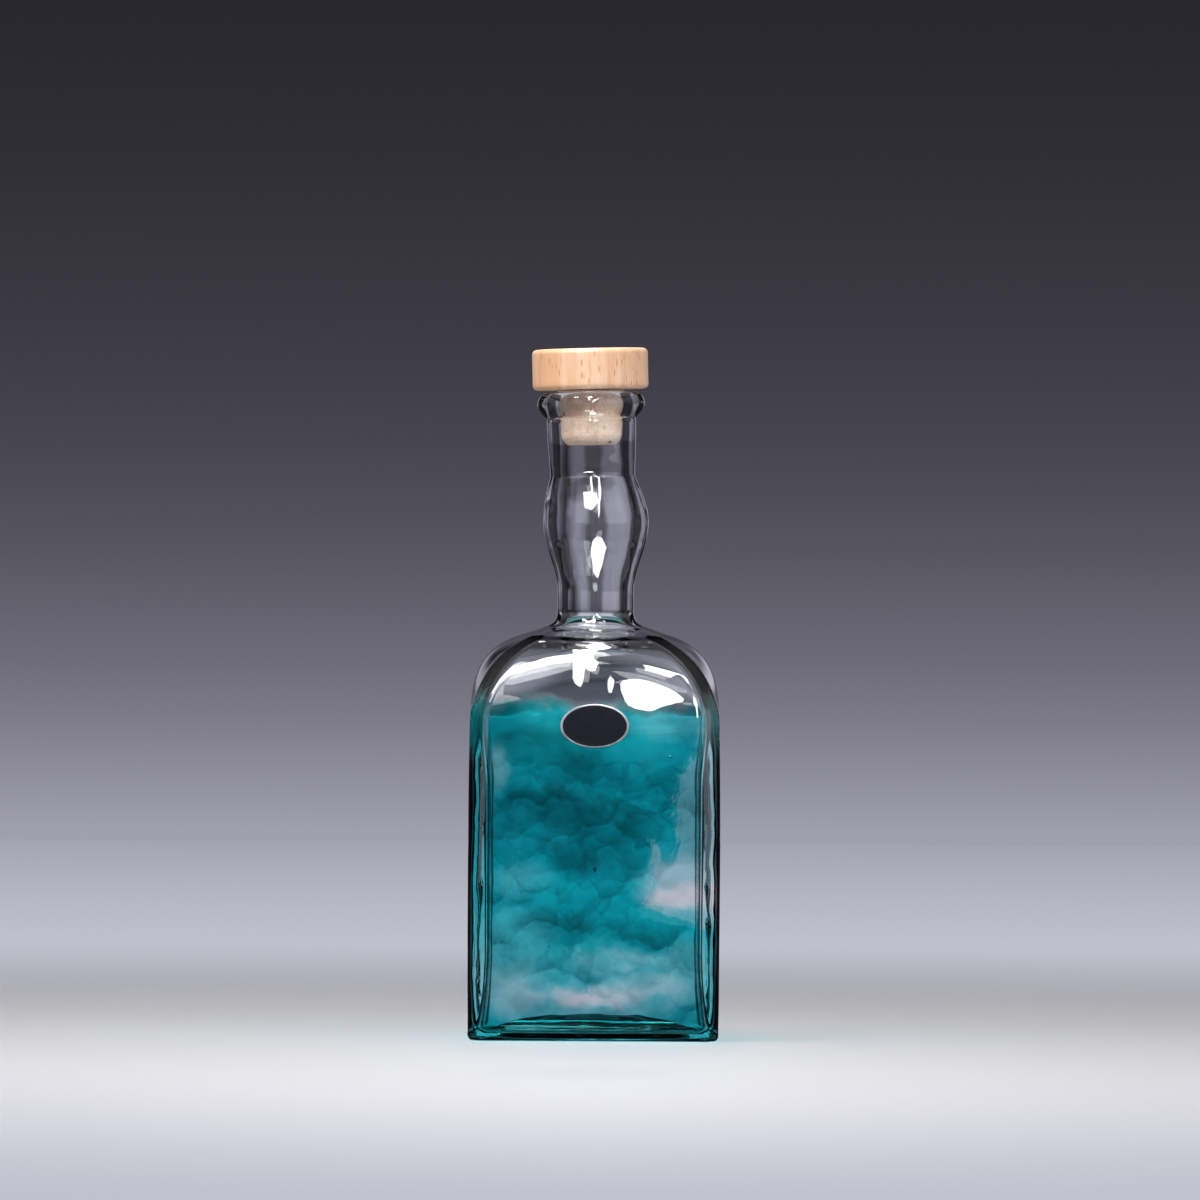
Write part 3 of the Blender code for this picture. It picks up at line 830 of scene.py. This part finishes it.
def foil_material():
    """Dark pewter foil, brighter where its rim is rubbed."""
    nodes = new_material("pewter_foil")
    place = nodes.object_place()
    flat = nodes.scaled(place, (2 / LABEL_WIDTH, 0, 2 / LABEL_HEIGHT))
    out = nodes.length(nodes.vector("SUBTRACT", flat, (0, 0, 2 * LABEL_MIDDLE / LABEL_HEIGHT)))
    grain = nodes.noise(nodes.scaled(place, (1, 1, 2.5)), 900, rough=0.6)
    field = nodes.blend(grain, (0.008, 0.0088, 0.0122, 1), (0.030, 0.033, 0.042, 1))
    colour = nodes.blend(nodes.step(out, 0.925, 0.945), field, (0.40, 0.41, 0.44, 1))
    rough = nodes.step(grain, 0.3, 0.7, 0.30, 0.48)
    bump = nodes.bump(grain, 0.35, 0.0001)
    return nodes.finish(nodes.principled(colour, rough, Metallic=1, Normal=bump))


def plain_wood_material():
    nodes = new_material("dowel_birch")
    grain = nodes.noise(nodes.scaled(nodes.object_place(), (1, 1, 0.08)), 900, rough=0.6)
    colour = nodes.blend(grain, rgb(214, 178, 138), rgb(236, 206, 168))
    return nodes.finish(nodes.principled(colour, 0.6))


# Turned pieces and the label

HEAD_UNEVENNESS = 0.00006
CORK_UNEVENNESS = 0.00005
PIT_SIZE = 0.0016
PIT_DEPTH = 0.00025
RIM_RELIEF = 0.00007
LINE_RELIEF = 0.00003
CRINKLE = 0.000022
# The CAD label's thickness leaves room above the foil for its relief
FOIL_LIFT = FOIL_GAP + 0.6 * FOIL_THICKNESS


def turned(name, profile, steps, seat, wobble):
    """A solid turned about the seat's Z from (radius, height) points. Points at radius 0 close it."""
    verts, loops = [], []
    for radius, height in profile:
        if radius == 0:
            loops.append([len(verts)] * steps)
            verts.append(Vector((0, 0, height)))
            continue
        loops.append(list(range(len(verts), len(verts) + steps)))
        for i in range(steps):
            angle = 2 * math.pi * i / steps
            point = Vector((radius * math.cos(angle), radius * math.sin(angle), height))
            verts.append(point + wobble(point))
    faces = []
    for upper, lower in zip(loops, loops[1:]):
        for i in range(steps):
            j = (i + 1) % steps
            faces.append(list(dict.fromkeys((upper[i], lower[i], lower[j], upper[j]))))
    mesh = bpy.data.meshes.new(name)
    mesh.from_pydata([seat @ v for v in verts], [], faces)
    mesh.shade_smooth()
    mesh.set_sharp_from_angle(angle=math.radians(40))
    return place_object(name, mesh)


def quarter(centre, radius, start, steps):
    angles = [math.radians(start - 90 * share) for share in sweep(steps)]
    return [(centre[0] + radius * math.cos(a), centre[1] + radius * math.sin(a)) for a in angles]


def make_head(seat):
    hole = DOWEL_RADIUS + GLUE_GAP
    hole_end = DOWEL_IN_HEAD + GLUE_GAP
    inner = HEAD_RADIUS - HEAD_EDGE
    profile = [(0, HEAD_HEIGHT)] + [(inner * s, HEAD_HEIGHT) for s in sweep(8, first=1)][:-1]
    profile += quarter((inner, HEAD_HEIGHT - HEAD_EDGE), HEAD_EDGE, 90, 8)
    profile += [(HEAD_RADIUS, mix(HEAD_HEIGHT - HEAD_EDGE, HEAD_EDGE, s)) for s in sweep(8, first=1)][:-1]
    profile += quarter((inner, HEAD_EDGE), HEAD_EDGE, 0, 8)
    profile += [(hole, 0), (hole, hole_end), (0, hole_end)]

    def wobble(point):
        inward = -Vector((point.x, point.y, 0)).normalized()
        return HEAD_UNEVENNESS * (1 + noise.noise(point / 0.012)) * inward

    return turned("turned_head", profile, 160, seat, wobble)


def make_cork(seat):
    hole = DOWEL_RADIUS + GLUE_GAP
    hole_end = -DOWEL_IN_CORK - GLUE_GAP
    profile = [(0, hole_end), (hole, hole_end), (hole, -GLUE_GAP), (CORK_RADIUS, -GLUE_GAP)]
    chamfer_start = CORK_LENGTH - CORK_CHAMFER_LENGTH
    side = cork_radius_at(HEAD_BASE - chamfer_start)
    for share in sweep(26, first=1)[:-1]:
        depth = chamfer_start * share
        profile.append((cork_radius_at(HEAD_BASE - depth), -depth))
    for share in sweep(12):
        angle = math.pi / 2 * share
        depth = chamfer_start + CORK_CHAMFER_LENGTH * math.sin(angle)
        profile.append((side - CORK_CHAMFER_DEPTH * (1 - math.cos(angle)), -depth))
    last = profile[-1][0]
    profile += [(last * (1 - s), -CORK_LENGTH) for s in sweep(6, first=1)][:-1] + [(0, -CORK_LENGTH)]

    def wobble(point):
        if math.hypot(point.x, point.y) < hole * 1.01 or point.z > -0.001:
            return Vector((0, 0, 0))
        pit = smooth(noise.noise(point / PIT_SIZE + Vector((3, 1, 4))), 0.42, 0.62)
        inward = -Vector((point.x, point.y, 0.3 * point.z)).normalized()
        return inward * (PIT_DEPTH * pit + CORK_UNEVENNESS * (1 + noise.noise(point / 0.004)))

    return turned("cork_shank", profile, 144, seat, wobble)


def make_label():
    """Oval foil laid on the front face: a raised rim, a fine inner line and a slight crinkle."""
    rings, steps = sweep(26), 96
    turn = [shoulder_turn(share)[0] for share in sweep(40)]

    def out_at(x, z):
        """How far the glass's front stands out at a place on it."""
        if z <= WALL_HEIGHT:
            return face_at(z)
        low, high = next(pair for pair in zip(turn, turn[1:]) if z <= pair[1].x)
        half_width = mix(low.y, high.y, (z - low.x) / (high.x - low.x))
        square = 1 - ((z - WALL_HEIGHT) / (ROOT - WALL_HEIGHT)) ** ROUNDING
        direction = Vector((half_width, abs(x))).normalized()
        out = mix(half_width, reach(direction, half_width, SHOULDER_CORNER), square)
        return out * direction.x

    def relief(share, x, z):
        rim = smooth(share, 0.915, 0.935) - smooth(share, 0.985, 1.0)
        line = smooth(share, 0.845, 0.855) - smooth(share, 0.870, 0.880)
        crinkle = noise.noise(Vector((x, 0, z)) / 0.0022) + 0.6 * noise.noise(Vector((x, 5, z)) / 0.0009)
        return RIM_RELIEF * rim + LINE_RELIEF * line + CRINKLE * crinkle

    verts = []
    for back in (False, True):
        for share in rings[1:]:
            for i in range(steps):
                angle = 2 * math.pi * i / steps
                x = LABEL_WIDTH / 2 * share * math.cos(angle)
                z = LABEL_MIDDLE + LABEL_HEIGHT / 2 * share * math.sin(angle)
                lift = FOIL_GAP if back else FOIL_LIFT + relief(share, x, z)
                verts.append((x, -out_at(x, z) - lift, z))
        lift = FOIL_GAP if back else FOIL_LIFT
        verts.append((0, -out_at(0, LABEL_MIDDLE) - lift, LABEL_MIDDLE))
    count = (len(rings) - 1) * steps
    edge = count - steps
    faces = []
    for i in range(steps):
        j = (i + 1) % steps
        for base in (0, count + 1):
            faces.append((base + count, base + i, base + j))
            for low in range(base, base + edge, steps):
                faces.append((low + i, low + steps + i, low + steps + j, low + j))
        faces.append((edge + j, edge + i, count + 1 + edge + i, count + 1 + edge + j))
    mesh = bpy.data.meshes.new("foil")
    mesh.from_pydata(verts, [], faces)
    shape = bmesh.new()
    shape.from_mesh(mesh)
    bmesh.ops.recalc_face_normals(shape, faces=shape.faces)
    poured(shape, mesh)
    mesh.shade_smooth()
    mesh.set_sharp_from_angle(angle=math.radians(50))
    return place_object("bare_foil_label", mesh)


# Stage

FLOOR_REACH = 4.44
FLOOR_DROP = 0.0002
# Tone of the painted shadow under the bottle, which only views through the glass see
PAINTED_SHADOW_UNDER_GLASS = 0.09
FLOOR_THROUGH_GLASS = 0.45
# Tones against the share of FLOOR_REACH on the floor, and against the height of the view above the level
FLOOR_TONES = ((0.0, 0.62), (0.061, 0.61), (0.221, 0.565), (0.451, 0.503), (0.765, 0.423), (1.0, 0.37))
SKY_DEPTH = 0.02
SKY_TONES = (
    (-0.0169, 0.370), (-0.0154, 0.337), (-0.0118, 0.266), (-0.0084, 0.205), (-0.0049, 0.159),
    (-0.0014, 0.130), (0.0021, 0.104), (0.0056, 0.083), (0.0123, 0.058), (0.0195, 0.044),
    (0.0300, 0.030), (0.0404, 0.022), (0.11, 0.016),
)
# Tones that only reflections show, against the turn in degrees from the camera's side to its right
GLOSS_TONES = (
    (-180, 0.10), (-173, 0.10), (-170, 0.5), (-162, 0.5), (-157, 0.03),
    (-48, 0.03), (-42, 1.5), (-17, 1.5), (-12, 0.02), (16, 0.02),
    (22, 1.7), (66, 1.7), (80, 0.03), (157, 0.03),
    (162, 0.6), (170, 0.6), (173, 0.10), (180, 0.10),
)
DIM_ROOM = (0.30, 0.30, 0.31, 1)
DIM_IN_GLASS = (0.04, 0.04, 0.043, 1)
# Tones round the bottle, seen only through its glass, against the height on the surround
SURROUND_TONES = (
    (-0.005, 0.62), (0.0146, 0.60), (0.0366, 0.55), (0.0586, 0.47), (0.0806, 0.38),
    (0.1000, 0.38), (0.1100, 0.58), (0.1160, 0.50), (0.1220, 0.16), (0.1280, 0.09),
    (0.1560, 0.08), (0.1680, 0.15), (0.2150, 0.15), (0.2400, 0.07),
)
SURROUND_RADIUS = 0.5
SURROUND_HEIGHT = 0.45
SURROUND_FOOT = -0.01
SURROUND_STEPS = 96

LAMP_TARGET = Vector((0, 0, 0.14))
LAMP_DISTANCE = 1.5
# The cards' strength, and to a view through glass
GLEAM = 26
GLEAM_WITHIN = 6

# Outlines of the high gleam cards: to the right and towards the camera
HIGH_CARDS = {
    "left_band": [
        (-0.52, 0.43), (-0.46, 0.31), (-0.38, 0.18), (-0.27, 0.09), (-0.26, 0.04), (-0.13, 0.04),
        (-0.13, 0.38), (-0.19, 0.36), (-0.25, 0.34), (-0.30, 0.38), (-0.37, 0.45), (-0.45, 0.50),
    ],
    "middle_block": [
        (-0.13, 0.01), (-0.10, -0.47), (-0.06, -0.66), (-0.01, -0.66), (0.013, -0.45), (0.02, -0.10),
        (0.0, 0.11), (0.0, 0.29), (0.032, 0.45), (0.015, 0.68), (-0.016, 0.70), (-0.05, 0.60), (-0.13, 0.57),
    ],
    "left_spike": [
        (-0.135, 0.56), (-0.05, 0.60), (-0.045, 0.84), (-0.051, 0.92), (-0.076, 0.90), (-0.114, 0.81),
    ],
    "curl": [
        (0.088, 0.765), (0.092, 0.82), (0.074, 0.885), (0.043, 0.95),
        (0.036, 0.95), (0.056, 0.88), (0.072, 0.81),
    ],
    "right_wedge": [
        (0.05, 0.984), (0.078, 0.925), (0.10, 0.86), (0.122, 0.81), (0.155, 0.76), (0.19, 0.72), (0.25, 0.67),
        (0.255, 0.71), (0.23, 0.78), (0.185, 0.85), (0.14, 0.91), (0.10, 0.965), (0.06, 0.99),
    ],
    "right_slip": [(0.25, 0.41), (0.25, 0.29), (0.29, 0.26), (0.32, 0.32), (0.30, 0.41), (0.24, 0.47)],
    "rear": [(-0.06, -0.84), (0.06, -0.84), (0.06, -0.77), (-0.06, -0.77)],
}
# Corners of the panes close to the neck, in mm
NECK_PANES = (
    [
        (-9.6, -26.6, 214.5), (-3.8, -27.4, 215), (1.3, -28.6, 214.5),
        (1.6, -31.5, 209.5), (-4.2, -33.5, 205.5), (-10, -31.8, 206.5),
    ],
    [
        (-3.5, -30, 183), (0.2, -32.6, 186), (5.6, -31.7, 185), (9, -28, 180),
        (5.5, -25, 175), (1.9, -24.5, 172), (-2, -25.5, 173), (-5, -28, 177),
    ],
)

FOCAL_LENGTH = 431.4
CAMERA_PLACE = (0.0017, -5.5, 0.1674)
CAMERA_ROLL = math.radians(0.35)


def backdrop_colour(tone):
    """A grey that leans to violet where it is dark."""
    return (tone, tone * (0.955 + 0.08 * min(tone, 0.56)), tone * (1.24 - 0.17 * min(tone, 0.56)), 1)


def tones(nodes, value, stops):
    ramp = nodes.add("ValToRGB", {0: value})
    ends = ramp.color_ramp.elements
    for end, (position, tone) in zip((ends[0], ends[1]), (stops[0], stops[-1])):
        end.position = position
        end.color = backdrop_colour(tone)
    for position, tone in stops[1:-1]:
        ends.new(position).color = backdrop_colour(tone)
    return ramp.outputs[0]


def hide_from(made, *rays):
    for kind in rays:
        setattr(made, "visible_" + kind, False)


def make_world():
    """The backdrop to the camera, gloss tones to reflections, dim greys to the wood and through glass."""
    world = bpy.data.worlds.new("studio")
    bpy.context.scene.world = world
    nodes = Nodes(world)
    x, y, z = nodes.split(nodes.add("TexCoord").outputs["Generated"])
    backdrop = tones(nodes, z + SKY_DEPTH, [(height + SKY_DEPTH, tone) for height, tone in SKY_TONES])
    turn = nodes.maths("ARCTAN2", x, y * -1)
    share = turn * (0.5 / math.pi) + 0.5
    gloss = tones(nodes, share, [(degrees / 360 + 0.5, tone) for degrees, tone in GLOSS_TONES])
    behind = nodes.step(abs(turn), 2.4, 2.6)
    steep = behind * nodes.step(abs(z), 0.10, 0.25, 0, 0.95)
    low = nodes.step(abs(z), 0.45, 0.60, 1, 0.03) * (1 - steep)
    shown = nodes.blend(nodes.ray("Is Glossy Ray"), DIM_ROOM, nodes.blend(1, gloss, low, "MULTIPLY"))
    shown = nodes.blend(nodes.ray("Is Transmission Ray"), shown, DIM_IN_GLASS)
    shown = nodes.blend(nodes.ray("Is Camera Ray"), shown, backdrop)
    nodes.finish(nodes.add("Background", {"Color": shown}))


def lobes(nodes, place):
    """1 towards the body's four faces and little between them: narrow low down, wider for the neck."""
    x, y, z = nodes.split(place)
    turn = nodes.maths("ARCTAN2", x, y) * 4
    side = nodes.maths("COSINE", turn)
    aside = nodes.maths("COSINE", turn - 0.55)
    low = nodes.step(side, 0.50, 0.82, 0.12, 1)
    high = nodes.step(aside, -0.35, 0.55, 0.10, 1) * nodes.step(side, 0.93, 0.995, 1.9, 0.65)
    return low + (high - low) * nodes.step(z, 0.145, 0.156)


def make_surround():
    """A low drum that shows only through the glass: the backdrop's tones, dimmer off the faces."""
    shape = bmesh.new()
    lower, upper = [], []
    for step in range(SURROUND_STEPS):
        angle = 2 * math.pi * step / SURROUND_STEPS
        x, y = SURROUND_RADIUS * math.cos(angle), SURROUND_RADIUS * math.sin(angle)
        lower.append(shape.verts.new((x, y, SURROUND_FOOT)))
        upper.append(shape.verts.new((x, y, SURROUND_FOOT + SURROUND_HEIGHT)))
    for step in range(SURROUND_STEPS):
        shape.faces.new((lower[step], lower[step - 1], upper[step - 1], upper[step]))
    drum = place_object("glass_surround", poured(shape, bpy.data.meshes.new("surround")))
    hide_from(drum, "camera", "diffuse", "glossy", "shadow")
    nodes = new_material("surround_tones")
    place = nodes.object_place()
    share = (nodes.split(place)[2] - SURROUND_FOOT) / SURROUND_HEIGHT
    grey = tones(nodes, share, [((z - SURROUND_FOOT) / SURROUND_HEIGHT, tone) for z, tone in SURROUND_TONES])
    glow = nodes.add("Emission", {"Color": nodes.blend(1, grey, lobes(nodes, place), "MULTIPLY")})
    drum.data.materials.append(nodes.finish(glow))


def make_floor():
    """A pale floor that darkens slowly towards the backdrop. Seen through the glass, it has a painted shadow
    under the bottle.
    """
    shape = bmesh.new()
    bmesh.ops.create_circle(shape, cap_ends=True, segments=128, radius=FLOOR_REACH)
    floor = place_object("studio_floor", poured(shape, bpy.data.meshes.new("floor")))
    floor.location.z = -FLOOR_DROP
    nodes = new_material("pale_floor")
    distance = nodes.length(nodes.object_place())
    surface = nodes.principled((0.42, 0.42, 0.44, 1), 0.5)
    glossy = nodes.ray("Is Glossy Ray")
    # painted shadow under the bottle, shown only to views through the glass
    through_glass_with_painted_shadow = nodes.step(distance, 0.046, 0.080, PAINTED_SHADOW_UNDER_GLASS, FLOOR_THROUGH_GLASS)
    tone = nodes.blend(glossy, tones(nodes, distance / FLOOR_REACH, FLOOR_TONES), DIM_IN_GLASS)
    tone = nodes.blend(nodes.ray("Is Transmission Ray"), tone, nodes.combine(through_glass_with_painted_shadow, through_glass_with_painted_shadow, through_glass_with_painted_shadow * 1.06))
    own = nodes.maths("MAXIMUM", nodes.step(distance, 0.20, 1.6), glossy)
    shown = nodes.mix_shaders(own, surface, nodes.add("Emission", {"Color": tone}))
    floor.data.materials.append(nodes.finish(shown))


def towards(azimuth, elevation):
    """A direction from the bottle: degrees round from the camera's side to its right, and degrees up."""
    a, e = math.radians(azimuth), math.radians(elevation)
    return Vector((math.sin(a) * math.cos(e), -math.cos(a) * math.cos(e), math.sin(e)))


def soft_lamp(name, low_end, high_end, width, strength):
    """A strip lamp stretched between two directions that lights the wood, cork and floor."""
    low, high = towards(*low_end), towards(*high_end)
    away = (low + high).normalized()
    along = (high - low).normalized()
    lamp = bpy.data.lights.new(name, "AREA")
    lamp.shape = "RECTANGLE"
    lamp.size = 2 * LAMP_DISTANCE * math.tan(math.radians(width / 2))
    lamp.size_y = LAMP_DISTANCE * (high - low).length
    lamp.energy = strength * math.pi * lamp.size * lamp.size_y
    place = Matrix((along.cross(away), along, away)).transposed().to_4x4()
    place.translation = LAMP_TARGET + LAMP_DISTANCE * (low + high) / 2
    made = place_object(name, lamp)
    made.matrix_world = place
    hide_from(made, "glossy")


def high_corner(right, near):
    """A corner whose direction goes so far to the right and towards the camera, at the lamps' distance."""
    return LAMP_TARGET + LAMP_DISTANCE * Vector((right, -near, math.sqrt(1 - right * right - near * near)))


def gleam_card(name, corners, material):
    """A card that shows only as a gleam on the glass and the foil."""
    shape = bmesh.new()
    shape.faces.new([shape.verts.new(corner) for corner in corners])
    bmesh.ops.triangulate(shape, faces=shape.faces)
    made = place_object(name, poured(shape, bpy.data.meshes.new(name)))
    made.data.materials.append(material)
    hide_from(made, "camera", "diffuse", "shadow")


def gleam_material():
    """Bright to a view that has met only glass, dark to one that left the floor or the wood."""
    nodes = new_material("gleam")
    first = nodes.maths("LESS_THAN", nodes.ray("Diffuse Depth"), 0.5)
    strength = first * nodes.step(nodes.ray("Is Transmission Ray"), 0, 1, GLEAM, GLEAM_WITHIN)
    return nodes.finish(nodes.add("Emission", {"Strength": strength}))


def make_lights():
    soft_lamp("left_key", (-52, 44), (-52, 86), 30, 8.6)
    soft_lamp("right_key", (30, 24), (30, 56), 20, 6.0)
    gleam = gleam_material()
    for name, outline in HIGH_CARDS.items():
        gleam_card(name, [high_corner(*corner) for corner in outline], gleam)
    for number, corners in enumerate(NECK_PANES):
        gleam_card(f"neck_pane_{number}", [Vector(corner) / 1000 for corner in corners], gleam)


def make_camera():
    """The photograph's view: a long lens, level, at the height of the neck's foot."""
    lens = bpy.data.cameras.new("camera")
    lens.sensor_width = 36
    lens.lens = FOCAL_LENGTH
    camera = place_object("camera", lens)
    camera.location = CAMERA_PLACE
    camera.rotation_mode = "QUATERNION"
    look = Vector((0, 1, 0)).to_track_quat("-Z", "Y")
    camera.rotation_quaternion = look @ Matrix.Rotation(CAMERA_ROLL, 3, "Z").to_quaternion()
    bpy.context.scene.camera = camera
    bpy.context.scene.view_settings.view_transform = "Standard"


def dress(piece, material, body, slot, *nodes):
    """Gives a piece its material and its body, and hides the CAD solids it stands for; the slot is not used.
    """
    piece.data.materials.append(material)
    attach(piece, body)
    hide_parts(*nodes)


def main():
    seat = axis_frame(HEAD_BASE)
    dress(make_glass(), glass_material(), "bottle", "glass", "bottle")
    dress(make_label(), foil_material(), "bottle", "foil", "foil_label")
    dress(make_head(seat), beech_material(), "stopper", "beech", "stopper_head")
    dress(make_cork(seat), cork_material(), "stopper", "cork", "cork")
    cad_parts["dowel"].material_slots[0].material = plain_wood_material()
    make_world()
    make_floor()
    make_surround()
    make_lights()
    make_camera()


main()
